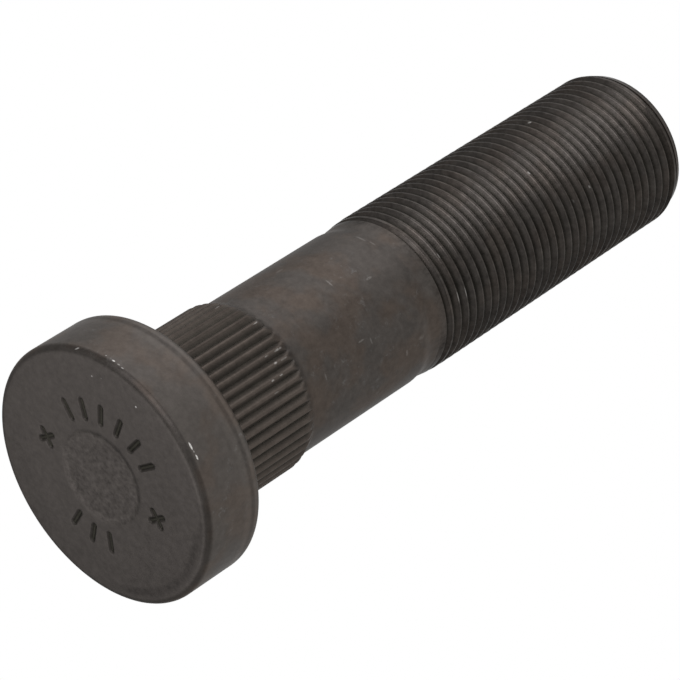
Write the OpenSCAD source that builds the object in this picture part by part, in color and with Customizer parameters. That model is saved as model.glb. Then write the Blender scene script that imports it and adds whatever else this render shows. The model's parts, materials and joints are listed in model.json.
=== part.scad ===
// Wheel bolt for the hub of a heavy vehicle: a flat round head, a splined neck that is
// pressed into the hub, a plain shank and a fine metric thread for the wheel nut.
// It stands on its head: the outer face is at z = 0 and the thread points up.
// All sizes are in millimetres.

/* [Head] */
// Diameter of the head
head_d = 34; // [30:0.5:42]
// Thickness of the head
head_h = 9.2; // [6:0.2:14]
// Radius of the round between the outer face and the side
face_edge_r = 1; // [0.4:0.1:2]
// Radius of the round between the side and the seat
seat_edge_r = 0.9; // [0.4:0.1:2]

/* [Marks on the outer face] */
// Diameter of the shallow dish in the middle
dish_d = 12.4; // [6:0.2:14]
// Depth of the dish
dish_h = 0.15; // [0.05:0.05:0.4]
// Radius of the circle that the stamped bars stand on
mark_ring_r = 9; // [8.8:0.1:12]
// Length of a bar
bar_l = 2.8; // [1:0.1:3.4]
// Width of a bar
bar_w = 0.6; // [0.3:0.05:0.9]
// Depth of the stamping
bar_h = 0.25; // [0.1:0.05:0.6]
// Number of bars in the long row
long_row_n = 6; // [2:1:8]
// Number of bars in the short row
short_row_n = 3; // [1:1:4]
// Angle from one bar of a row to the next
bar_step = 18; // [10:1:20]

/* [Splined neck] */
// Diameter over the ribs
neck_d = 22.9; // [22.2:0.1:25]
// Length of the ribs at full height, from the seat
neck_l = 15; // [8:0.5:24]
// Number of ribs
rib_n = 50; // [36:1:60]
// Width of a rib at its top
rib_w = 0.3; // [0.1:0.05:0.5]
// Angle between the two sides of a groove
groove_angle = 90; // [80:1:110]
// Length of the taper from the ribs down to the shank
neck_taper_l = 1.1; // [0.4:0.1:3]

/* [Shank] */
// Length from the seat to the end of the thread
under_head_l = 90.8; // [80:0.1:120]
// Diameter of the plain shank
shank_d = 21.6; // [21.3:0.1:22]
// Diameter of the relief between the shank and the thread
relief_d = 21; // [20.6:0.1:21.2]
// Length of the relief
relief_l = 2; // [0.5:0.1:4]

/* [Thread] */
// Nominal diameter of the thread
thread_d = 22; // [21.6:0.1:22.4]
// Pitch of the thread
pitch = 1.5; // [1:0.25:2]
// Length of the thread, from its first low turn to the end of the bolt
thread_l = 50.6; // [20:0.1:60]
// Length over which the first turns rise to the full diameter
run_in_l = 3; // [1:0.5:6]
// Distance from the last groove to the end of the bolt
nose_l = 1.3; // [1:0.1:3]
// Length of the taper at the end of the bolt
end_taper_l = 2; // [1:0.1:4]
// Diameter at the small end of that taper
end_d = 20.6; // [19:0.1:21]
// Width of the chamfer round the end face
end_chamfer = 0.4; // [0.2:0.1:1]

/* [Hidden] */
steel = [0.28, 0.265, 0.25];
$fn = 96;

// How far each section runs into the one below it, so that they join as one solid
join_l = 1;

// How far outside the ribs the section starts that tapers them
neck_clear = 0.5;

head_r = head_d / 2;
neck_r = neck_d / 2;
shank_r = shank_d / 2;
relief_r = relief_d / 2;
thread_r = thread_d / 2;
end_r = end_d / 2;

total_l = head_h + under_head_l;
neck_top_z = head_h + neck_l;
thread_z = total_l - thread_l;
relief_z = thread_z - relief_l;

// The long row of bars faces the front, the short row the back, and a cross stands on
// each side between them
long_row_angle = -90;
short_row_angle = 90;
cross_angles = [0, 180];

// The two sides of a groove meet at its root, halfway between two ribs
rib_angle = 360 / rib_n;
rib_top_angle = asin(rib_w / neck_d) * 2;
groove_w = 2 * neck_r * sin((rib_angle - rib_top_angle) / 2);
groove_root_r = neck_r * cos((rib_angle - rib_top_angle) / 2) - groove_w / 2 / tan(groove_angle / 2);

// Metric thread section: flanks at 60 degrees, crests an eighth of the pitch wide, and
// roots cut to 17/24 of the height of the sharp triangle
sharp_h = pitch * sqrt(3) / 2;
sharp_crest_r = thread_r + sharp_h / 8;
root_r = thread_r - sharp_h * 17 / 24;
root_w = 2 * (sharp_h * 7 / 8 - sharp_h * 17 / 24) * tan(30);
last_root_z = total_l - nose_l;
root_n = 1 + floor((thread_l - nose_l) / pitch);
first_root_z = last_root_z - (root_n - 1) * pitch;

// The quarter of a circle that rounds a corner. up is 1 for an upper corner, -1 for a lower one.
module corner(r, up) {
    intersection() {
        circle(r);
        translate([0, up > 0 ? 0 : -r]) square(r);
    }
}

// Half the section of the head, from its axis out
module head_section() {
    side_h = head_h - face_edge_r - seat_edge_r;
    translate([0, face_edge_r]) square([head_r, side_h]);
    square([head_r - face_edge_r, face_edge_r + join_l]);
    translate([head_r - face_edge_r, face_edge_r]) corner(face_edge_r, -1);
    translate([0, head_h - seat_edge_r - join_l]) square([head_r - seat_edge_r, seat_edge_r + join_l]);
    translate([head_r - seat_edge_r, head_h - seat_edge_r]) corner(seat_edge_r, 1);
}

// A bar stamped into the outer face. It points at the axis unless it is turned.
module bar(angle, turn = 0) {
    rotate(angle) translate([mark_ring_r, 0, 0]) rotate(turn)
        cube([bar_l, bar_w, 2 * bar_h], center = true);
}

// A row of bars round the mark circle, centred on an angle
module bar_row(n, angle) {
    for (i = [0 : n - 1]) bar(angle + (i - (n - 1) / 2) * bar_step);
}

module head() {
    difference() {
        rotate_extrude() head_section();
        cylinder(d = dish_d, h = 2 * dish_h, center = true);
        bar_row(long_row_n, long_row_angle);
        bar_row(short_row_n, short_row_angle);
        for (angle = cross_angles, turn = [45, -45]) bar(angle, turn);
    }
}

// A point at a radius and an angle
function polar(r, angle) = [r * cos(angle), r * sin(angle)];

// Cross-section of the neck: flat-topped ribs with a V groove after each
module rib_outline() {
    polygon([for (i = [0 : rib_n - 1]) each [
        polar(neck_r, i * rib_angle - rib_top_angle / 2),
        polar(neck_r, i * rib_angle + rib_top_angle / 2),
        polar(groove_root_r, (i + 0.5) * rib_angle)
    ]]);
}

// The ribs run out on a taper, where each groove ends in a point. The cutting section
// stays clear of the ribs below the taper.
module splined_neck() {
    base_z = head_h - join_l;
    taper_end_z = neck_top_z + neck_taper_l;
    clear_l = neck_clear * neck_taper_l / (neck_r - shank_r);
    intersection() {
        translate([0, 0, base_z]) linear_extrude(taper_end_z - base_z) rib_outline();
        rotate_extrude() polygon([
            [0, base_z - join_l],
            [neck_r + neck_clear, base_z - join_l],
            [neck_r + neck_clear, neck_top_z - clear_l],
            [shank_r, taper_end_z],
            [0, taper_end_z]
        ]);
    }
}

// The shank carries the neck and ends in a step down to the relief
module shank() {
    step_l = shank_r - relief_r;
    rotate_extrude() polygon([
        [0, head_h - join_l],
        [shank_r, head_h - join_l],
        [shank_r, relief_z - step_l],
        [relief_r, relief_z],
        [relief_r, thread_z],
        [0, thread_z]
    ]);
}

// The crests left sharp, with every groove at its place
module thread_comb() {
    polygon([
        [0, thread_z - join_l],
        [sharp_crest_r, thread_z - join_l],
        for (i = [0 : root_n - 1], p = [
            [sharp_crest_r, -pitch / 2],
            [root_r, -root_w / 2],
            [root_r, root_w / 2]
        ]) p + [0, first_root_z + i * pitch],
        [sharp_crest_r, last_root_z + pitch / 2],
        [sharp_crest_r, total_l],
        [0, total_l]
    ]);
}

// The outline that the thread is rolled within: low first turns, then the full
// diameter, then the tapered end
module thread_limit() {
    polygon([
        [0, thread_z - join_l],
        [relief_r, thread_z - join_l],
        [relief_r, thread_z],
        [thread_r, thread_z + run_in_l],
        [thread_r, total_l - end_taper_l],
        [end_r, total_l - end_chamfer],
        [end_r - end_chamfer, total_l],
        [0, total_l]
    ]);
}

// Each turn is a ring of the true section. The rise of one pitch a turn is left to the
// finished surface.
module thread() {
    rotate_extrude() intersection() {
        thread_comb();
        thread_limit();
    }
}

module wheel_bolt() {
    color(steel) union() {
        head();
        splined_neck();
        shank();
        thread();
    }
}

wheel_bolt();
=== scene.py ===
import json
import math

import bmesh
import bpy
from bpy.props import FloatProperty, FloatVectorProperty, IntProperty, PointerProperty
from mathutils import Matrix, Vector


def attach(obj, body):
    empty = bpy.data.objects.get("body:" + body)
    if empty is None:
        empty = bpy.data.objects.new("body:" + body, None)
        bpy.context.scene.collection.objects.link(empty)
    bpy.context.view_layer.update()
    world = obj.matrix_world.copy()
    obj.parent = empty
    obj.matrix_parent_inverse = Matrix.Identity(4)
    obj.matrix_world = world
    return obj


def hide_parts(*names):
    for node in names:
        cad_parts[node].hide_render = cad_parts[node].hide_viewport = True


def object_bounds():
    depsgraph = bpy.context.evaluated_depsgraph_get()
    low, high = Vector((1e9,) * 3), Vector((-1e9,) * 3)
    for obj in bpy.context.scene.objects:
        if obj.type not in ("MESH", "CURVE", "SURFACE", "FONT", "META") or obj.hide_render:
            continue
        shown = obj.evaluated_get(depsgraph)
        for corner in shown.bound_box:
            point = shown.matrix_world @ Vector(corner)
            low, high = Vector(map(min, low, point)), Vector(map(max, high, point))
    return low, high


bl_info = {
    "name": "Splined Wheel Bolt",
    "version": (1, 0, 0),
    "blender": (4, 5, 0),
    "location": "3D View > Sidebar > Bolt",
    "description": "Dresses the packed wheel bolt: forged head, rolled splines and helical thread",
    "category": "Object",
}

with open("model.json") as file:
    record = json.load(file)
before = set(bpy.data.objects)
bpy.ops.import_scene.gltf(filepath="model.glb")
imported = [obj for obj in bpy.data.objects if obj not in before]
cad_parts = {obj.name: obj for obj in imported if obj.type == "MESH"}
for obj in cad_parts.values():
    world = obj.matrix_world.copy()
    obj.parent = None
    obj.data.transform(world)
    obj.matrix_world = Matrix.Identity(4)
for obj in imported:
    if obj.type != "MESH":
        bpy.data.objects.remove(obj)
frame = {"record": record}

MM = 0.001
TURN = 2 * math.pi

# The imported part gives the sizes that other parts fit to
CAD_LOW, CAD_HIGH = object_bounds()
MOUNTS = {mount["name"]: mount for mount in frame["record"]["mounts"]}
HEAD_R = (CAD_HIGH.x - CAD_LOW.x) / 2
TOTAL_L = CAD_HIGH.z
HEAD_H = MOUNTS["seat"]["pos_m"][2]
THREAD_R = MOUNTS["thread"]["dims"]["r_mm"] * MM
SHANK_R = MOUNTS["shank"]["dims"]["r_mm"] * MM

# Columns of vertices to a rib, steps round an edge of the head, and columns round the thread
RIB_COLUMNS = 8
CORNER_STEPS = 8
THREAD_COLUMNS = 160

# Places closer than NEAR are the same, and vertices of the thread closer than WELD are merged
NEAR = 1e-7
WELD = 1e-6

# The outer face has fine rings this far on both sides of the mark circle
MARK_BAND = 1.9 * MM

# The turned section ends this far below the thread, and one band of faces joins the two
JOIN_L = 0.3 * MM

# Edges that fold by more than this stay sharp
SHARP_FOLD = math.radians(44)


def length(name, description, millimetres):
    """A size that is stored in metres and shown in the scene's unit."""
    return FloatProperty(name=name, description=description, default=millimetres * MM,
                         unit="LENGTH", precision=5, min=0.0)


def angle(name, description, degrees):
    """An angle that is stored in radians and shown in degrees."""
    return FloatProperty(name=name, description=description, default=math.radians(degrees),
                         subtype="ANGLE")


def colour(name, description, linear):
    """A linear colour."""
    return FloatVectorProperty(name=name, description=description, default=linear,
                               subtype="COLOR", size=3, min=0.0, max=1.0)


def factor(name, description, default):
    """A plain number from 0 to 1."""
    return FloatProperty(name=name, description=description, default=default, min=0.0, max=1.0)


class BoltSizes(bpy.types.PropertyGroup):
    """Sizes of the bolt. The head's outer face is at z = 0 and the thread points up."""

    face_edge_r: length("Face edge", "Round between the outer face and the side", 1.0)
    seat_edge_r: length("Seat edge", "Round between the side and the seat", 0.9)
    dish_d: length("Dish", "Diameter of the shallow dish in the outer face", 12.4)
    dish_h: length("Dish depth", "Depth of that dish", 0.15)
    dish_wall_in: length("Dish wall inside", "How far inside its edge the dish begins to rise", 0.6)
    dish_wall_out: length("Dish wall outside", "How far outside its edge the dish has risen", 0.25)
    crown_r: length("Crown start", "Radius from which the outer face falls away", 11.8)
    crown_h: length("Crown", "How far the face has fallen at its edge", 0.1)
    mark_ring_r: length("Mark ring", "Radius of the circle that the marks stand on", 9.0)
    bar_l: length("Bar length", "Length of a stamped bar", 2.8)
    bar_w: length("Bar width", "Width of a stamped bar", 0.6)
    bar_h: length("Bar depth", "Depth of the stamping", 0.25)
    bar_soft: length("Bar slope", "Half the width of the slope round a bar", 0.22)
    bar_step: angle("Bar step", "Angle from one bar of a row to the next", 18.0)
    long_row_n: IntProperty(name="Long row", description="Bars in the long row", default=6, min=1)
    short_row_n: IntProperty(name="Short row", description="Bars in the short row", default=3, min=1)
    neck_d: length("Neck", "Diameter over the ribs", 22.9)
    neck_l: length("Neck length", "Length of the ribs at full height", 15.0)
    neck_taper_l: length("Neck taper", "Length of the taper down to the shank", 1.1)
    taper_ease: length("Taper ease", "How far the taper's ends are drawn out into a smooth curve", 0.5)
    rib_n: IntProperty(name="Ribs", description="Number of ribs", default=50, min=3)
    rib_w: length("Rib top", "Width of a rib at its top", 0.3)
    groove_angle: angle("Groove angle", "Angle between the two sides of a groove", 90.0)
    relief_d: length("Relief", "Diameter between the shank and the thread", 21.2)
    relief_l: length("Relief length", "From the shank's full diameter to the thread", 3.0)
    relief_fall_l: length("Relief fall", "Length of the smooth fall from the shank", 1.9)
    thread_l: length("Thread length", "From the first low turn to the end of the bolt", 50.6)
    pitch: length("Pitch", "Rise of the thread in one turn", 1.5)
    crest_z: length("Crest height", "Height of a crest's middle in the direction of +X", 51.67)
    crest_round: length("Crest round", "Radius of the crests as they are rolled", 0.33)
    root_round: length("Root round", "Radius of the roots as they are rolled", 0.12)
    run_in_d: length("Run-in start", "Diameter at which the first turn begins", 21.4)
    run_in_l: length("Run-in", "Length over which the first turns rise", 3.0)
    end_taper_l: length("End taper", "Length of the taper at the end of the bolt", 2.0)
    end_d: length("End diameter", "Diameter at the small end of that taper", 20.6)
    end_chamfer: length("End chamfer", "Chamfer round the end face", 0.4)


class SteelFinish(bpy.types.PropertyGroup):
    """Colours of the phosphated steel."""

    skin: colour("Skin", "The dull dark skin of the steel", (0.074, 0.066, 0.060))
    # Painted shade: the colour that the grooves, the thread's roots and the stamped marks are darkened
    # to
    shade: colour("Shade", "The skin in the grooves and the stamped marks", (0.030, 0.029, 0.022))
    scuff: colour("Scuff", "Grey scuffs on the side of the head and on the shank", (0.18, 0.18, 0.18))
    rust: colour("Rust", "Brown patches on the side, the shank and the neck", (0.080, 0.065, 0.055))
    bare: colour("Bare", "Bare metal in the nicks", (0.75, 0.73, 0.70))
    grain: length("Grain", "Size of the crystals in the skin", 0.22)
    patch: length("Patch", "Size of the mottled patches", 3.2)
    roughness: factor("Roughness", "Roughness of the skin", 0.46)
    thread_roughness: factor("Thread roughness", "Roughness of the rolled thread", 0.33)


class Studio(bpy.types.PropertyGroup):
    """The camera. The lamps stand round its direction."""

    lens: FloatProperty(name="Lens", description="Focal length on a 36 mm sensor", default=185.294,
                        unit="CAMERA")
    aim: FloatVectorProperty(name="Aim", description="Point that the camera looks at", size=3,
                             default=(1.361 * MM, 0.884 * MM, 41.371 * MM), subtype="TRANSLATION")
    distance: length("Distance", "From the camera to that point", 434.537)
    azimuth: angle("Azimuth", "Direction of the camera round the bolt's axis, from +X", -57.0)
    elevation: angle("Elevation", "Height of the camera over the floor's plane", -38.9505)
    roll: angle("Roll", "Turn of the camera about its own line of sight", 57.1362)


def ray(azimuth, elevation=0.0):
    """The direction at an azimuth and an elevation, of length 1."""
    level = math.cos(elevation)
    return Vector((level * math.cos(azimuth), level * math.sin(azimuth), math.sin(elevation)))


def ramp(value, start, end):
    """0 below start, 1 above end, with a smooth rise between them."""
    t = min(max((value - start) / (end - start), 0.0), 1.0)
    return t * t * (3 - 2 * t)


def along(stations, z):
    """The radius at height z on a line through (z, radius) stations."""
    for (z0, r0), (z1, r1) in zip(stations, stations[1:]):
        if z <= z1:
            return r0 + (r1 - r0) * min(max((z - z0) / (z1 - z0), 0.0), 1.0)
    return stations[-1][1]


def steps_between(start, end, count):
    """Values from start to end in equal steps, without the start."""
    return [start + (end - start) * (i + 1) / count for i in range(count)]


def eased(r0, r1, z0, z1, count):
    """(radius, z) points on a smooth curve from one radius to another, without the first."""
    return [(r0 + (r1 - r0) * ramp(z, z0, z1), z) for z in steps_between(z0, z1, count)]


def only(kind, items):
    """The items of one kind."""
    return [item for item in items if isinstance(item, kind)]


def sunk_bmesh():
    """An empty bmesh whose vertices hold how deep they lie in a groove or a mark, from 0 to 1."""
    bm = bmesh.new()
    bm.verts.layers.float.new("sunk")
    return bm


def chain(bm, section):
    """Adds a section as a line of edges in the plane of X and Z. Returns its vertices and edges."""
    verts = [bm.verts.new((r, 0.0, z)) for r, z in section]
    edges = [bm.edges.new(pair) for pair in zip(verts, verts[1:])]
    return verts + edges


def open_loop(bm, z):
    """The open edges at height z."""
    return [edge for edge in bm.edges if edge.is_boundary
            and all(abs(vert.co.z - z) < WELD for vert in edge.verts)]


def join(bm, other):
    """Moves all of another bmesh into this one."""
    mesh = bpy.data.meshes.new("joined")
    other.to_mesh(mesh)
    other.free()
    bm.from_mesh(mesh)
    bpy.data.meshes.remove(mesh)


def face_z(s, radius):
    """Height of the outer face at a radius. It is flat, and falls away a little towards its edge."""
    return s.crown_h * ramp(radius, s.crown_r, HEAD_R - s.face_edge_r / 2)


def head_section(s):
    """Half the section of the head, from the middle of the outer face to the neck, as (radius, z).

    The wall of the dish and the band of the marks have fine rings.
    """
    dish_r = s.dish_d / 2
    wall_in, wall_out = dish_r - s.dish_wall_in - 0.2 * MM, dish_r + s.dish_wall_out + 0.15 * MM
    ring_in, ring_out = s.mark_ring_r - MARK_BAND, s.mark_ring_r + MARK_BAND
    flat_r = HEAD_R - s.face_edge_r
    radii = [0.0]
    for start, end, count in ((0.0, wall_in, 3), (wall_in, wall_out, 6), (wall_out, ring_in, 1),
                              (ring_in, ring_out, 13), (ring_out, flat_r, 6)):
        radii += steps_between(start, end, count)
    section = [(r, face_z(s, r)) for r in radii]
    edge_z = face_z(s, flat_r)
    quarter = steps_between(0.0, math.pi / 2, CORNER_STEPS)
    section += [(HEAD_R - s.face_edge_r * (1 - math.sin(turn)),
                 edge_z + (s.face_edge_r - edge_z) * (1 - math.cos(turn))) for turn in quarter]
    section += [(HEAD_R, z) for z in steps_between(s.face_edge_r, HEAD_H - s.seat_edge_r, 2)]
    section += [(HEAD_R - s.seat_edge_r * (1 - math.cos(turn)),
                 HEAD_H - s.seat_edge_r * (1 - math.sin(turn))) for turn in quarter]
    return section + [(r, HEAD_H) for r in steps_between(HEAD_R - s.seat_edge_r, s.neck_d / 2, 2)]


def body_section(s):
    """Half the section from the neck to just below the thread, as (radius, z)."""
    neck_r, relief_r = s.neck_d / 2, s.relief_d / 2
    taper_z = HEAD_H + s.neck_l
    start_z = taper_z - s.taper_ease
    end_z = taper_z + s.neck_taper_l + s.taper_ease
    thread_z = TOTAL_L - s.thread_l
    relief_z = thread_z - s.relief_l
    fall_z = relief_z + s.relief_fall_l
    lip_r = s.run_in_d / 2 - 0.03 * MM
    section = [(neck_r, start_z)] + eased(neck_r, SHANK_R, start_z, end_z, 12)
    section += [(SHANK_R, z) for z in steps_between(end_z, relief_z, 2)]
    section += eased(SHANK_R, relief_r, relief_z, fall_z, 8)
    return section + [(relief_r, fall_z + JOIN_L), (lip_r, thread_z - JOIN_L)]


def rib_turns(s):
    """Turns from the middle of a rib to its corner and to the root of the groove beside it."""
    return math.asin(s.rib_w / s.neck_d), TURN / s.rib_n / 2


def rib_columns(s):
    """Turns of the columns over half a rib. Two stand close to its corner and round it a little."""
    corner, root = rib_turns(s)
    return [0.0, corner * 0.62, corner * 1.38, (corner + root) / 2, root]


def rib_radius(s, offset):
    """Radius of the neck at a turn from the middle of a rib."""
    corner, root = rib_turns(s)
    neck_r = s.neck_d / 2
    groove_half = neck_r * math.sin(root - corner)
    root_r = neck_r * math.cos(root - corner) - groove_half / math.tan(s.groove_angle / 2)
    return neck_r + (root_r - neck_r) * max(offset - corner, 0.0) / (root - corner)


def roll_ribs(bm, s):
    """Moves the columns onto the ribs' corners and presses the grooves between them."""
    sunk = bm.verts.layers.float["sunk"]
    neck_r = s.neck_d / 2
    step = TURN / s.rib_n
    full_depth = neck_r - rib_radius(s, step / 2)
    columns = rib_columns(s)
    end_z = HEAD_H + s.neck_l + s.neck_taper_l + s.taper_ease
    for vert in bm.verts:
        radius = vert.co.xy.length
        if radius == 0.0:
            continue
        turn = math.atan2(vert.co.y, vert.co.x)
        middle = round(turn / step) * step
        offset = turn - middle
        placed = math.copysign(columns[round(abs(offset) / step * RIB_COLUMNS)], offset)
        if HEAD_H - NEAR <= vert.co.z < end_z and radius < neck_r + NEAR:
            rib_r = rib_radius(s, abs(placed))
            radius = min(radius, rib_r)
            if radius < neck_r - NEAR:
                vert[sunk] = (neck_r - rib_r) / full_depth
        vert.co.xy = radius * math.cos(middle + placed), radius * math.sin(middle + placed)


def bars(s):
    """Every stamped bar as its middle and the direction of its length."""
    rows = [(s.long_row_n, -90.0), (s.short_row_n, 90.0)]
    placed = []
    for count, middle in rows:
        for i in range(count):
            turn = math.radians(middle) + (i - (count - 1) / 2) * s.bar_step
            placed.append((turn, turn))
    for turn in (0.0, math.pi):
        placed += [(turn, turn + math.pi / 4), (turn, turn - math.pi / 4)]
    return [(s.mark_ring_r * ray(turn).xy, ray(lie).xy) for turn, lie in placed]


def bar_press(point, middle, lie, s):
    """How far one bar is pressed in at a point, from 0 to 1. Its ends are round and its sides slope."""
    offset = point - middle
    half = (s.bar_l - s.bar_w) / 2
    run = min(max(offset.dot(lie), -half), half)
    gap = (offset - run * lie).length - s.bar_w / 2
    return 1 - ramp(gap, -s.bar_soft, s.bar_soft)


def stamp_face(bm, s):
    """Refines the outer face round each bar, then presses the bars and the dish into it."""
    sunk = bm.verts.layers.float["sunk"]
    placed = bars(s)
    reach = s.bar_soft + 0.1 * MM

    def near_bar(point):
        return any(abs((point - middle).dot(lie)) < s.bar_l / 2 + reach
                   and abs((point - middle).cross(lie)) < s.bar_w / 2 + reach for middle, lie in placed)

    edges = []
    for face in bm.faces:
        middle = face.calc_center_median()
        on_ring = abs(middle.xy.length - s.mark_ring_r) < MARK_BAND
        if abs(middle.z) < NEAR and on_ring and near_bar(middle.xy):
            edges += face.edges
    bmesh.ops.subdivide_edges(bm, edges=list(dict.fromkeys(edges)), cuts=2, use_grid_fill=True)
    wall_in, wall_out = s.dish_d / 2 - s.dish_wall_in, s.dish_d / 2 + s.dish_wall_out
    for vert in bm.verts:
        radius = vert.co.xy.length
        if abs(vert.co.z) > NEAR or radius > s.crown_r:
            continue
        depth = s.dish_h * (1 - ramp(radius, wall_in, wall_out))
        if abs(radius - s.mark_ring_r) < MARK_BAND:
            press = max(bar_press(vert.co.xy, middle, lie, s) for middle, lie in placed)
            vert[sunk] = press
            depth += s.bar_h * press
        vert.co.z += depth


def thread_rows(s):
    """One turn of the rolled thread from root to root, as (radius, height over the crest's middle)."""
    flank = math.radians(60)
    crest, root = s.crest_round, s.root_round
    crest_middle = THREAD_R - crest
    root_middle = crest_middle + 2 * crest - s.pitch * math.sqrt(3) / 2 + 2 * root
    half = [(crest_middle + crest * math.cos(turn), crest * math.sin(turn))
            for turn in (flank * 0.2, flank * 0.6, flank)]
    half += [(root_middle - root * math.cos(turn), s.pitch / 2 - root * math.sin(turn))
             for turn in (flank, flank * 0.4)]
    root_r, root_z = half[-1]
    return [(r, -z) for r, z in reversed(half)] + half + [(root_r, s.pitch - root_z)]


def thread_limit(s):
    """The outer line that the thread is rolled within, as (z, radius). Its first turns rise early."""
    thread_z = TOTAL_L - s.thread_l
    start_r = s.run_in_d / 2
    early_r = start_r + (THREAD_R - start_r) * 0.7
    return [(thread_z, start_r), (thread_z + s.run_in_l / 2, early_r),
            (thread_z + s.run_in_l, THREAD_R), (TOTAL_L - s.end_taper_l, THREAD_R),
            (TOTAL_L - s.end_chamfer, s.end_d / 2)]


def root_lift(s, limit, root_r, z):
    """How far the roots are raised at height z, up to the outer line.

    They run out at the first turn and are shallow in the last.
    """
    thread_z = TOTAL_L - s.thread_l
    end_z = TOTAL_L - s.end_chamfer
    lift = (s.run_in_d / 2 - root_r) * ramp(z, thread_z + 0.6 * s.pitch, thread_z)
    lift += 0.4 * (THREAD_R - root_r) * ramp(z, end_z - 1.5 * s.pitch, end_z - 0.5 * s.pitch)
    return min(lift, along(limit, z) - root_r)


def spin_turns(bm, s, section, count):
    """Spins a section through one turn of the helix, and copies that turn up the bolt."""
    rise = Vector((0.0, 0.0, s.pitch / THREAD_COLUMNS))
    bmesh.ops.spin(bm, geom=chain(bm, section), cent=(0, 0, 0), axis=(0, 0, 1), dvec=rise, angle=TURN,
                   steps=THREAD_COLUMNS, use_merge=False, use_normal_flip=False)
    turn = bm.verts[:] + bm.edges[:] + bm.faces[:]
    for i in range(1, count):
        copy = bmesh.ops.duplicate(bm, geom=turn)["geom"]
        bmesh.ops.translate(bm, verts=only(bmesh.types.BMVert, copy), vec=(0.0, 0.0, i * s.pitch))
    bmesh.ops.remove_doubles(bm, verts=bm.verts[:], dist=WELD)


def roll_thread(bm, s):
    """A true helix that is held under its outer line and cut off level at both ends."""
    sunk = bm.verts.layers.float["sunk"]
    thread_z = TOTAL_L - s.thread_l
    end_z = TOTAL_L - s.end_chamfer
    start_z = thread_z - s.pitch
    base_z = start_z + (s.crest_z - start_z) % s.pitch - s.pitch
    rows = thread_rows(s)
    root_r = min(r for r, z in rows)
    spin_turns(bm, s, [(r, base_z + z) for r, z in rows], math.ceil((end_z - start_z) / s.pitch) + 2)
    limit = thread_limit(s)
    flank = math.tan(math.radians(30))
    for vert in bm.verts:
        radius = vert.co.xy.length
        lead = math.atan2(vert.co.y, vert.co.x) / TURN * s.pitch
        offset = (vert.co.z - lead - base_z + s.pitch / 2) % s.pitch - s.pitch / 2
        ridge_z = vert.co.z - offset
        # What stands over the outer line slides down its flank to the line
        over = radius + root_lift(s, limit, root_r, ridge_z) - along(limit, ridge_z)
        if over > 0.0:
            vert.co.z += math.copysign(over * flank, offset)
        top = along(limit, vert.co.z)
        held = min(radius + root_lift(s, limit, root_r, vert.co.z), top)
        vert[sunk] = (top - held) / (THREAD_R - root_r)
        vert.co.xy *= held / radius
    bmesh.ops.remove_doubles(bm, verts=bm.verts[:], dist=WELD)
    for z, normal in ((thread_z, -1.0), (end_z, 1.0)):
        bmesh.ops.bisect_plane(bm, geom=bm.verts[:] + bm.edges[:] + bm.faces[:], dist=NEAR,
                               plane_co=(0, 0, z), plane_no=(0, 0, normal), clear_outer=True)


def close_end(bm, s):
    """The chamfer and the end face, drawn inwards from the thread's last edge."""
    end_r = s.end_d / 2
    edges = open_loop(bm, TOTAL_L - s.end_chamfer)
    for radius in (end_r - s.end_chamfer, end_r * 0.6, end_r * 0.2):
        drawn = bmesh.ops.extrude_edge_only(bm, edges=edges)["geom"]
        for vert in only(bmesh.types.BMVert, drawn):
            vert.co = (*(vert.co.xy.normalized() * radius), TOTAL_L)
        edges = [edge for edge in only(bmesh.types.BMEdge, drawn) if edge.is_boundary]
    bmesh.ops.edgeloop_fill(bm, edges=edges)


def finish_mesh(bm, name, material):
    """Turns the faces outwards, marks the sharp edges and makes the object."""
    bmesh.ops.recalc_face_normals(bm, faces=bm.faces[:])
    for face in bm.faces:
        face.smooth = True
    for edge in bm.edges:
        if len(edge.link_faces) == 2 and edge.calc_face_angle(0.0) > SHARP_FOLD:
            edge.smooth = False
    mesh = bpy.data.meshes.new(name)
    bm.to_mesh(mesh)
    bm.free()
    mesh.materials.append(material)
    piece = bpy.data.objects.new(name, mesh)
    bpy.context.scene.collection.objects.link(piece)
    return piece


# Noise starts beside the bolt, because its octaves meet in a star where it starts
NOISE_START = (31.7, 47.3, 0.0)


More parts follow.
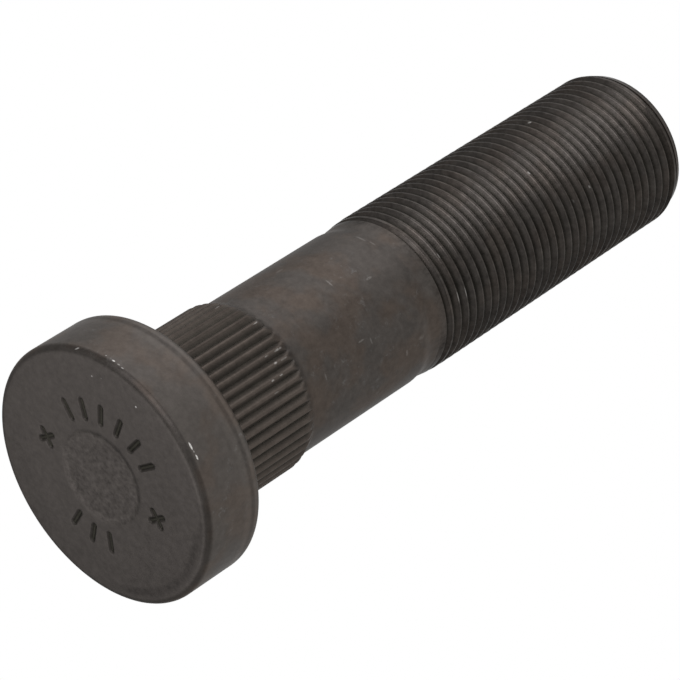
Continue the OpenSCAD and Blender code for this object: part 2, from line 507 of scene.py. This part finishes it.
class Shade:
    """A node's output. Sums and products of shades add Math nodes, or Vector Math nodes on vectors."""

    def __init__(self, tree, socket):
        self.tree = tree
        self.socket = socket

    def node(self, kind, settings=None, inputs=None, output=0):
        """Adds a node with its settings and its sockets' values or links, and returns one output."""
        node = self.tree.nodes.new(kind)
        for name, value in (settings or {}).items():
            setattr(node, name, value)
        for name, value in (inputs or {}).items():
            if isinstance(value, Shade):
                self.tree.links.new(value.socket, node.inputs[name])
            else:
                node.inputs[name].default_value = value
        return Shade(self.tree, None if output is None else node.outputs[output])

    def maths(self, operation, *values):
        """A Math node on these values, or a Vector Math node where one of them is a vector."""
        vector = any(isinstance(value, Shade) and value.socket.type == "VECTOR" for value in values)
        kind = "ShaderNodeVectorMath" if vector else "ShaderNodeMath"
        return self.node(kind, {"operation": operation}, dict(enumerate(values)))

    def __add__(self, other):
        return self.maths("ADD", self, other)

    def __radd__(self, other):
        return self.maths("ADD", other, self)

    def __sub__(self, other):
        return self.maths("SUBTRACT", self, other)

    def __rsub__(self, other):
        return self.maths("SUBTRACT", other, self)

    def __mul__(self, other):
        return self.maths("MULTIPLY", self, other)

    def __rmul__(self, other):
        return self.maths("MULTIPLY", other, self)

    def __abs__(self):
        return self.maths("ABSOLUTE", self)

    def top(self, other):
        return self.maths("MAXIMUM", self, other)

    def parts(self):
        """The X, Y and Z of this vector."""
        return [self.node("ShaderNodeSeparateXYZ", {}, {0: self}, output=axis) for axis in "XYZ"]

    def norm(self):
        """The length of this vector."""
        return self.node("ShaderNodeVectorMath", {"operation": "LENGTH"}, {0: self}, output="Value")

    def dot(self, direction):
        """How far this vector goes in a direction."""
        return self.node("ShaderNodeVectorMath", {"operation": "DOT_PRODUCT"}, {0: self, 1: direction},
                         output="Value")

    def rise(self, start, end):
        """0 below start and 1 above end, with a smooth rise between them."""
        return self.node("ShaderNodeMapRange", {"interpolation_type": "SMOOTHSTEP"},
                         {"Value": self, "From Min": start, "From Max": end})

    def fall(self, start, end):
        """1 below start and 0 above end, with a smooth fall between them."""
        return 1 - self.rise(start, end)

    def band(self, start, full, until, end):
        """1 from full until the fall, with a smooth rise before and a smooth fall after."""
        return self.rise(start, full) * self.fall(until, end)

    def mix(self, first, second):
        """Goes from the first colour to the second as this value goes from 0 to 1."""
        return self.node("ShaderNodeMix", {"data_type": "RGBA"}, {0: self, 6: first, 7: second},
                         output=2)

    def noise(self, size, detail, rough, stretch=(1.0, 1.0, 1.0)):
        """Noise from 0 to 1 on this vector, with lumps of a size in millimetres."""
        place = (self + NOISE_START) * stretch
        return self.node("ShaderNodeTexNoise", {}, {"Vector": place, "Scale": 1 / size,
                                                    "Detail": detail, "Roughness": rough})


def opaque(linear):
    """A linear colour as a colour socket takes it."""
    return (*linear, 1.0)


# Bare spots as (azimuth in degrees, height, half width round the bolt, half length along it,
# strength), with the sizes in millimetres
EDGE_NICKS = (
    (-111.7, 0.5, 0.22, 0.16, 0.6),
    (-99.0, 1.1, 0.12, 0.10, 0.25),
    (-94.7, 1.0, 0.24, 0.12, 0.7),
    (-91.8, 0.95, 0.20, 0.10, 0.3),
    (-89.4, 0.85, 0.25, 0.10, 0.25),
    (-48.4, 1.15, 0.55, 0.15, 1.0),
    (-46.0, 1.2, 0.15, 0.10, 0.4),
    (-43.5, 1.25, 0.38, 0.14, 0.9),
)
RIB_NICKS = (
    (-114.0, 23.3, 0.14, 0.42, 0.18),
    (-96.5, 24.1, 0.13, 0.33, 0.23),
    (-85.6, 23.9, 0.13, 0.60, 0.23),
    (-64.0, 23.5, 0.20, 0.75, 0.27),
    (-64.4, 21.5, 0.11, 0.38, 0.23),
    (-58.0, 22.0, 0.13, 0.30, 0.27),
    (-57.6, 23.4, 0.11, 0.75, 0.14),
    (-50.4, 21.8, 0.11, 0.30, 0.32),
    (-50.2, 20.3, 0.13, 0.27, 0.36),
    (-41.0, 24.5, 0.14, 0.27, 0.32),
    (-43.0, 20.0, 0.09, 0.45, 0.14),
    (-31.6, 24.3, 0.14, 0.33, 0.14),
)
SHANK_SCRATCHES = (
    (-40.3, 35.7, 0.14, 0.60, 0.10),
    (-36.6, 37.2, 0.50, 0.14, 0.08),
    (-13.6, 42.8, 0.50, 0.20, 0.08),
    (-84.0, 37.0, 0.70, 0.16, 0.09),
    (-72.0, 42.0, 0.20, 0.60, 0.08),
    (-101.0, 46.6, 0.90, 0.18, 0.07),
    (-92.0, 46.9, 0.60, 0.14, 0.06),
    (-118.0, 35.0, 0.25, 0.80, 0.05),
    (-33.0, 28.5, 0.60, 0.15, 0.06),
    (-18.0, 45.6, 0.30, 0.60, 0.05),
)
THREAD_NICKS = (
    (-59.7, 52.95, 0.40, 0.10, 0.20),
    (-29.5, 53.05, 0.90, 0.09, 0.22),
    (-29.3, 54.55, 0.80, 0.08, 0.20),
    (-109.4, 82.5, 0.25, 0.12, 0.6),
    (-39.2, 78.0, 0.30, 0.10, 0.35),
    (-73.9, 73.8, 0.30, 0.12, 0.30),
    (-43.6, 81.3, 0.25, 0.10, 0.35),
)
# Painted shade on the front edge, at its darkest place, in the same form
EDGE_SHADE = ((-12.0, 0.3, 4.4, 0.7, 0.15),)
# Bare specks on the outer face as (azimuth in degrees, radius, half width, strength)
FACE_SPECKS = ((-104.3, 14.05, 0.16, 0.25), (-98.3, 14.4, 0.12, 0.15), (-75.7, 14.25, 0.17, 0.5))
# Painted light and shade: sections painted brighter or darker on the side that faces an azimuth, as
# (mask, azimuth of the side in degrees, the two cosines between which the side fades in, how much
# brighter)
PAINTED_SIDES = (
    ("on_shoulder", -3.0, 0.8, 0.97, 0.2),
    ("on_thread", 24.0, 0.75, 1.0, -0.35),
    ("on_thread", -130.0, 0.85, 1.0, -0.2),
    ("on_edge_back", -79.0, 0.5, 0.95, -0.25),
    ("on_edge_front", -7.0, 0.4, 0.9, 0.2),
    ("on_side", -94.0, 0.85, 0.97, -0.14),
    ("on_neck", -25.0, 0.75, 0.97, 0.15),
)


class Surface:
    """Where a point of the bolt lies, in millimetres, masks of the bolt's sections, and its noises."""

    def __init__(self, tree, finish, s):
        start = Shade(tree, None)
        self.place = start.node("ShaderNodeTexCoord", output="Object") * (1 / MM, 1 / MM, 1 / MM)
        x, y, self.z = self.place.parts()
        across = self.place * (1.0, 1.0, 0.0)
        self.radius = across.norm()
        self.outward = across.maths("NORMALIZE", across)
        way_round = start.maths("ARCTAN2", y, x) * self.radius
        self.wrapped = start.node("ShaderNodeCombineXYZ", {}, {"X": way_round, "Y": self.z})
        self.sunk = start.node("ShaderNodeAttribute", {"attribute_name": "sunk"}, output="Fac")
        self.mask_sections(s)
        self.add_noises(finish)

    def mask_sections(self, s):
        """Masks of the sections of the bolt, and of the places on them where the skin or its painted
        light and shade differ.
        """
        z, radius, sunk = self.z, self.radius, self.sunk
        seat_z, end_z = HEAD_H / MM, TOTAL_L / MM
        neck_z = (HEAD_H + s.neck_l) / MM
        thread_z = (TOTAL_L - s.thread_l) / MM
        relief_z = thread_z - s.relief_l / MM
        head_r, dish_r = HEAD_R / MM, s.dish_d / 2 / MM
        edge_r = s.face_edge_r / MM
        flat_r = head_r - edge_r
        self.on_head = z.fall(seat_z - 0.1, seat_z + 0.1)
        self.on_face = z.fall(0.3, 0.6)
        self.on_side = self.on_head * radius.rise(head_r - 0.6, head_r - 0.1)
        self.on_neck = z.band(seat_z, seat_z + 0.2, neck_z - 0.4, neck_z + 0.8)
        self.on_thread = z.rise(thread_z - 0.5, thread_z + 0.6)
        self.on_turns = self.on_thread * z.fall(end_z - 2.4, end_z - 1.2)
        self.on_end = z.rise(end_z - 1.9, end_z - 1.2)
        self.on_shank = (1 - self.on_head) * (1 - self.on_neck) * (1 - self.on_thread)
        self.on_shoulder = z.band(relief_z - 0.6, relief_z + 0.2, relief_z + 0.8, relief_z + 1.6)
        on_edge = z.fall(edge_r - 0.25, edge_r) * radius.rise(flat_r - 0.2, flat_r + 0.2)
        self.on_edge_front = z.fall(0.3, 0.5) * on_edge
        self.on_edge_back = z.rise(0.25, 0.45) * on_edge
        self.in_dish = self.on_face * radius.fall(dish_r - 0.2, dish_r + 0.2)
        self.on_rib = self.on_neck * sunk.fall(0.05, 0.3)
        self.on_crest = self.on_turns * sunk.fall(0.02, 0.12)

    def add_noises(self, finish):
        """Crystals, mottling at three sizes, and the streaks that the tools leave."""
        self.crystals = self.place.noise(finish.grain / MM, detail=2.0, rough=0.7)
        self.coarse = self.place.noise(0.7, detail=3.0, rough=0.7)
        self.mottle = self.place.noise(0.9, detail=4.0, rough=0.7)
        self.patches = self.place.noise(finish.patch / MM, detail=4.0, rough=0.6)
        self.drawn = self.place.noise(0.5, detail=2.0, rough=0.6, stretch=(1.0, 1.0, 0.12))
        self.turned = self.place.noise(2.5, detail=3.0, rough=0.6, stretch=(1.0, 1.0, 9.0))

    def facing(self, degrees, start, end):
        """A mask of the side that faces an azimuth. It fades in between two cosines of the turn."""
        return self.outward.dot(ray(math.radians(degrees))).rise(start, end)

    def spots_round(self, radius, spots):
        """A mask of spots on a cylinder of a radius, from a table of them."""
        placed = [((math.radians(azimuth) * radius, height, 0.0), half_w, half_l, strength)
                  for azimuth, height, half_w, half_l, strength in spots]
        return ovals(self.wrapped, placed)


def ovals(place, spots):
    """A mask of soft ovals, from their middles, half widths, half lengths and strengths."""
    mask = 0.0
    for middle, half_w, half_l, strength in spots:
        offset = (place - middle) * (1 / half_w, 1 / half_l, 1 / half_w)
        mask = (offset.norm().fall(0.5, 1.1) * strength).top(mask)
    return mask


def brightness(at, s):
    """How bright the skin is, where 1 is its plain colour: noise, sections' tones, wear, and painted
    light and shade.
    """
    level = 1 + (at.crystals - 0.5) * 0.3 + (at.mottle - 0.5) * 0.8 + (at.patches - 0.5) * 0.5
    level = level + (at.drawn - 0.5) * 0.4 * at.on_neck + (at.turned - 0.5) * 0.1 * at.on_shank
    level = level + (at.mottle - 0.5) * 0.6 * at.on_thread + (at.coarse - 0.5) * 1.6 * at.in_dish
    # Painted light makes the thread's end much lighter; the head's side and the thread are lighter and
    # the crests darker
    level = level + 0.25 * at.on_side - 0.3 * at.on_crest + 0.12 * at.on_thread + 0.6 * at.on_end
    for mask, azimuth, start, end, brighter in PAINTED_SIDES:
        level = level + brighter * at.facing(azimuth, start, end) * getattr(at, mask)

    # The neck's grooves are lighter and its rib tops darker on one side, and worn bands run round the
    # rear of the head
    level = level + at.facing(-120.0, 0.8, 0.97) * at.on_neck * (0.45 * at.sunk - 0.3 * at.on_rib)
    seat_z = HEAD_H / MM
    bands = at.z.band(seat_z - 3.2, seat_z - 2.4, seat_z - 2.1, seat_z - 1.7) * 0.2
    bands = bands - at.z.band(seat_z - 1.9, seat_z - 1.6, seat_z - 1.4, seat_z - 1.1) * 0.25
    bands = bands + at.z.rise(seat_z - 1.3, seat_z - 1.0) * 0.3
    level = level + (at.coarse * 2 - 0.2) * bands * at.on_side

    # Painted shade on the outer face: darker towards one side, with a dark arc and a dark spot at its
    # edge
    head_r = HEAD_R / MM
    flat_r = head_r - s.face_edge_r / MM
    dull = at.place.dot(ray(math.radians(31.0)) / head_r)
    arc = abs(at.radius - (flat_r - 0.9)).fall(0.1, 0.8)
    level = level + (0.05 - dull * 0.12 - arc * dull.rise(0.55, 0.8) * 0.22) * at.on_face
    return level - at.spots_round(head_r, EDGE_SHADE) * at.radius.rise(flat_r - 0.7, flat_r - 0.1)


def skin_colour(at, finish, s):
    """The colour of the skin: brown patches, grey scuffs, and painted shade in the grooves, the thread's
    roots and the stamped marks.
    """
    brown = at.place.noise(5.0, detail=3.0, rough=0.5).rise(0.42, 0.62)
    brown = brown * (0.75 * at.on_side + at.on_shank + 0.4 * at.on_thread) + 0.8 * at.on_neck
    scuffs = at.place.noise(1.1, detail=4.0, rough=0.8).rise(0.55, 0.72) * (at.on_shank + at.on_side)
    scuffs = scuffs * at.place.noise(5.5, detail=2.0, rough=0.5).rise(0.45, 0.6)
    # Painted shade: the grooves, the thread's lower flanks and roots and the stamped marks darken
    # towards their bottoms
    shaded = at.sunk.rise(0.4, 1.0) * 0.85 * at.on_face + at.sunk * 0.7 * at.on_neck
    shaded = shaded + at.sunk.rise(0.3, 0.75) * 0.6 * at.on_turns
    skin = brown.mix(opaque(finish.skin), opaque(finish.rust))
    skin = (scuffs * 0.3).mix(skin, opaque(finish.scuff))
    skin = shaded.mix(skin, opaque(finish.shade))
    level = brightness(at, s)
    tone = level.node("ShaderNodeCombineXYZ", {}, {"X": level, "Y": level, "Z": level})
    return level.node("ShaderNodeMix", {"data_type": "RGBA", "blend_type": "MULTIPLY"},
                      {0: 1.0, 6: skin, 7: tone}, output=2)


def bare_metal(at, s):
    """A mask of the bare metal in the nicks, the scratches and the specks."""
    specks = [(ray(math.radians(azimuth)) * radius, half_w, half_w, strength)
              for azimuth, radius, half_w, strength in FACE_SPECKS]
    worn = ovals(at.place, specks) * at.on_face
    worn = worn + at.spots_round(HEAD_R / MM, EDGE_NICKS) * at.on_head
    worn = worn + at.spots_round(s.neck_d / 2 / MM, RIB_NICKS) * at.on_rib
    worn = worn + at.spots_round(SHANK_R / MM, SHANK_SCRATCHES) * at.on_shank
    worn = worn + at.spots_round(THREAD_R / MM, THREAD_NICKS) * at.on_thread * at.sunk.fall(0.3, 0.8)
    return worn * at.place.noise(0.25, detail=2.0, rough=0.6).rise(0.25, 0.5)


def steel_material(finish, s):
    """Phosphated steel: a dull crystalline skin with painted shade in the grooves and painted light and
    shade on its sides, worn bright on the edges.
    """
    material = bpy.data.materials.new("dark_steel")
    material.use_nodes = True
    tree = material.node_tree
    shader = tree.nodes["Principled BSDF"]
    at = Surface(tree, finish, s)
    worn = bare_metal(at, s)
    skin = worn.mix(skin_colour(at, finish, s), opaque(finish.bare))
    metal = 1 - at.sunk * (0.6 * at.on_neck + 0.12 * at.on_thread)
    rough = finish.roughness + (at.crystals - 0.5) * 0.2 + (at.patches - 0.5) * 0.16
    rough = rough + at.on_thread * (finish.thread_roughness - finish.roughness) - worn * 0.1
    rough = rough + at.sunk * (0.35 * at.on_neck + 0.12 * at.on_thread)
    height = at.crystals * 0.5 + at.place.noise(1.1, detail=3.0, rough=0.55) * 0.9 * at.on_head
    height = height + at.turned * 0.35 * at.on_shank
    bump = height.node("ShaderNodeBump", {}, {"Strength": 0.6, "Distance": 0.03 * MM, "Height": height})
    varying = {"Base Color": skin, "Metallic": metal, "Roughness": rough, "Normal": bump}
    for name, value in varying.items():
        tree.links.new(value.socket, shader.inputs[name])
    # The skin shines less at a flat angle than plain metal does
    shader.inputs["Specular Tint"].default_value = (0.6, 0.6, 0.6, 1.0)
    return material


class BOLT_OT_wheel_bolt(bpy.types.Operator):
    """Builds the bolt as one closed mesh in place of the plain solid"""

    bl_idname = "bolt.wheel_bolt"
    bl_label = "Wheel Bolt"

    def execute(self, context):
        s = context.scene.bolt_sizes
        bm = sunk_bmesh()
        section = head_section(s) + body_section(s)
        bmesh.ops.spin(bm, geom=chain(bm, section), cent=(0, 0, 0), axis=(0, 0, 1), angle=TURN,
                       steps=s.rib_n * RIB_COLUMNS, use_merge=True)
        bmesh.ops.remove_doubles(bm, verts=bm.verts[:], dist=NEAR)
        roll_ribs(bm, s)
        stamp_face(bm, s)
        thread = sunk_bmesh()
        roll_thread(thread, s)
        close_end(thread, s)
        join(bm, thread)
        thread_z = TOTAL_L - s.thread_l
        bmesh.ops.bridge_loops(bm, edges=open_loop(bm, thread_z - JOIN_L) + open_loop(bm, thread_z))
        piece = finish_mesh(bm, "bolt", steel_material(context.scene.bolt_finish, s))
        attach(piece, "root")
        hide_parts("wheel_bolt")
        return {"FINISHED"}


class BOLT_OT_studio(bpy.types.Operator):
    """Sets the floor, the light and the camera"""

    bl_idname = "bolt.studio"
    bl_label = "Studio"

    def execute(self, context):
        set_camera(context.scene.bolt_studio)
        set_world()
        set_floor()
        set_lights(context.scene.bolt_studio)
        context.scene.view_settings.view_transform = "Standard"
        return {"FINISHED"}


# The floor reaches this far on each side, and lies this far under the outer face
FLOOR_REACH = 1.5
FLOOR_GAP = 0.1 * MM

# Soft boxes as (name, turn from the camera and elevation in degrees, diameter in metres, watts)
SOFT_BOXES = (
    ("key", -65.0, 34.0, 0.78, 1.2),
    ("fill", -34.0, -33.0, 0.60, 1.85),
    ("face", 177.0, -58.0, 0.46, 0.62),
)
LAMP_DISTANCE = 0.6
LAMP_TINT = (0.97, 0.965, 1.0)


def set_camera(studio):
    """Looks up at the standing bolt from below, rolled so that it lies across the picture."""
    back = ray(studio.azimuth, studio.elevation)
    data = bpy.data.cameras.new("camera")
    data.lens = studio.lens
    data.sensor_width = 36.0
    data.clip_start = 0.01
    data.clip_end = 100.0
    camera = bpy.data.objects.new("camera", data)
    turned = (-back).to_track_quat("-Z", "Y").to_matrix() @ Matrix.Rotation(studio.roll, 3, "Z")
    place = Vector(studio.aim) + back * studio.distance
    camera.matrix_world = Matrix.Translation(place) @ turned.to_4x4()
    bpy.context.scene.collection.objects.link(camera)
    bpy.context.scene.camera = camera


def set_world():
    """White behind the bolt. The metal sees a pale world, brightest above the horizon, dimmest below."""
    world = bpy.data.worlds.new("world")
    world.use_nodes = True
    background = world.node_tree.nodes["Background"]
    start = Shade(world.node_tree, None)
    camera = start.node("ShaderNodeLightPath", output="Is Camera Ray")
    direction = start.node("ShaderNodeTexCoord", output="Generated")
    height = start.node("ShaderNodeSeparateXYZ", {}, {0: direction}, output="Z")
    below, above, overhead = 0.42, 0.95, 0.50
    level = below + height.rise(-0.1, 0.4) * (above - below)
    level = level - height.rise(0.7, 0.98) * (above - overhead)
    strength = level + camera * (1 - level)
    background.inputs["Color"].default_value = (1.0, 1.0, 1.0, 1.0)
    world.node_tree.links.new(strength.socket, background.inputs["Strength"])
    bpy.context.scene.world = world


def set_floor():
    """Pale paper under the bolt. It shows only from above, as the photograph looks up at the face."""
    bm = bmesh.new()
    bmesh.ops.create_grid(bm, x_segments=1, y_segments=1, size=FLOOR_REACH)
    mesh = bpy.data.meshes.new("floor")
    bm.to_mesh(mesh)
    bm.free()
    floor = bpy.data.objects.new("floor", mesh)
    floor.location.z = -FLOOR_GAP
    material = bpy.data.materials.new("paper")
    material.use_nodes = True
    tree = material.node_tree
    tree.nodes.clear()
    start = Shade(tree, None)
    seen = start.node("ShaderNodeLightPath", output="Is Camera Ray")
    above = 1 - start.node("ShaderNodeNewGeometry", output="Backfacing")
    clear = start.node("ShaderNodeBsdfTransparent")
    paper = start.node("ShaderNodeBsdfDiffuse", {}, {"Color": (0.8, 0.8, 0.8, 1.0)})
    shown = start.node("ShaderNodeMixShader", {}, {0: seen * above, 1: clear, 2: paper})
    start.node("ShaderNodeOutputMaterial", {}, {"Surface": shown}, output=None)
    mesh.materials.append(material)
    bpy.context.scene.collection.objects.link(floor)


def set_lights(studio):
    """Three soft boxes of near-white light: the key, a fill below it, and one for the outer face."""
    centre = Vector((0, 0, TOTAL_L / 2))
    for name, turn, elevation, size, watts in SOFT_BOXES:
        data = bpy.data.lights.new(name, "AREA")
        data.shape = "DISK"
        data.size = size
        data.energy = watts
        data.color = LAMP_TINT
        lamp = bpy.data.objects.new(name, data)
        lamp.visible_camera = False
        toward = ray(studio.azimuth + math.radians(turn), math.radians(elevation))
        lamp.matrix_world = (Matrix.Translation(centre + toward * LAMP_DISTANCE)
                             @ toward.to_track_quat("Z", "Y").to_matrix().to_4x4())
        bpy.context.scene.collection.objects.link(lamp)


class BOLT_PT_panel(bpy.types.Panel):
    """Lists the bolt's operators, sizes, finish and studio"""

    bl_label = "Wheel Bolt"
    bl_idname = "BOLT_PT_panel"
    bl_space_type = "VIEW_3D"
    bl_region_type = "UI"
    bl_category = "Bolt"

    def draw(self, context):
        for operator in OPERATORS:
            self.layout.operator(operator.bl_idname)
        for group in (context.scene.bolt_sizes, context.scene.bolt_finish, context.scene.bolt_studio):
            box = self.layout.box()
            for name in group.__annotations__:
                box.prop(group, name)


OPERATORS = (BOLT_OT_wheel_bolt, BOLT_OT_studio)
CLASSES = (BoltSizes, SteelFinish, Studio) + OPERATORS + (BOLT_PT_panel,)


def register():
    for item in CLASSES:
        bpy.utils.register_class(item)
    bpy.types.Scene.bolt_sizes = PointerProperty(type=BoltSizes)
    bpy.types.Scene.bolt_finish = PointerProperty(type=SteelFinish)
    bpy.types.Scene.bolt_studio = PointerProperty(type=Studio)


def unregister():
    del bpy.types.Scene.bolt_studio, bpy.types.Scene.bolt_finish, bpy.types.Scene.bolt_sizes
    for item in reversed(CLASSES):
        bpy.utils.unregister_class(item)


def main():
    register()
    bpy.ops.bolt.wheel_bolt()
    bpy.ops.bolt.studio()


if __name__ == "__main__":
    main()
